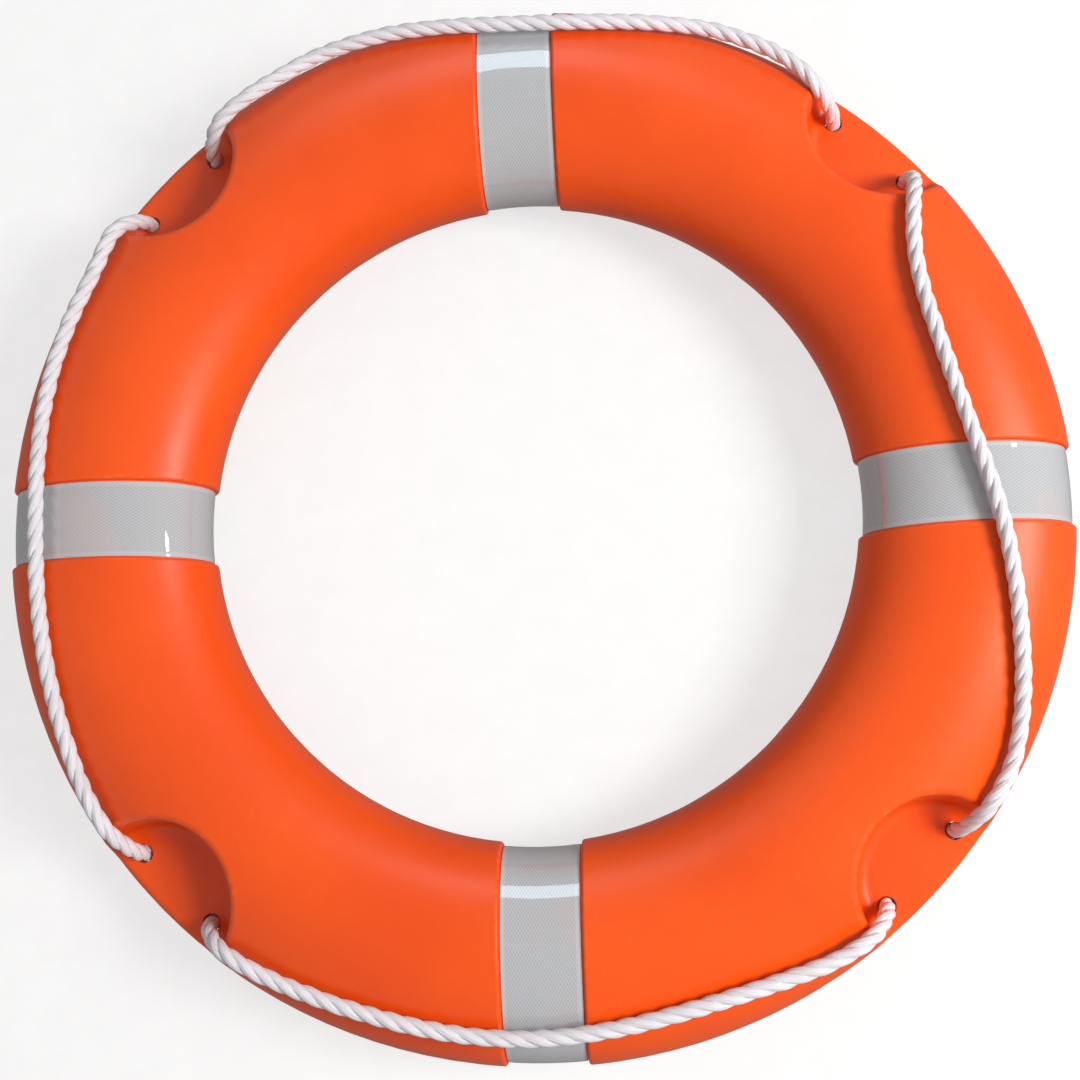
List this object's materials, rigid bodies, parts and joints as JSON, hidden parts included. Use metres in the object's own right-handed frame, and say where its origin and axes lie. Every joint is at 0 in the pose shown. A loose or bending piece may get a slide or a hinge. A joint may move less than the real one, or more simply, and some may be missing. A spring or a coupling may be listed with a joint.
{
  "type": "ring lifebuoy",
  "caption": "Ring lifebuoy: a foam-filled plastic ring with pocketed flanges, wrapped reflective tapes and a rope grab line in loops.",
  "frame": {"origin": "the ring's centre at half its thickness", "axes": "+Z along the ring's axis, out of the front face; the reflective tapes lie on the X and Y axes, and the four pockets on the diagonals between them"},
  "size_m": [0.7178, 0.7178, 0.1185],
  "materials": {
    "shell_plastic": "orange moulded polyethylene, semi-gloss",
    "foam": "closed-cell foam, pale cream",
    "reflective_tape": "silver-grey retro-reflective film with a fine honeycomb",
    "rope": "white three-strand twisted rope",
    "sleeve_plastic": "black shrunk sleeve",
    "plug_plastic": "orange moulded plug"
  },
  "bodies": {
    "root": {"shell": "shell_plastic", "foam_core": "foam", "tape_right": "reflective_tape", "tape_top": "reflective_tape", "tape_left": "reflective_tape", "tape_bottom": "reflective_tape", "grab_line": "rope", "line_sleeve": "sleeve_plastic", "filler_plug": "plug_plastic", "vent_plug": "plug_plastic"}
  },
  "joints": []
}
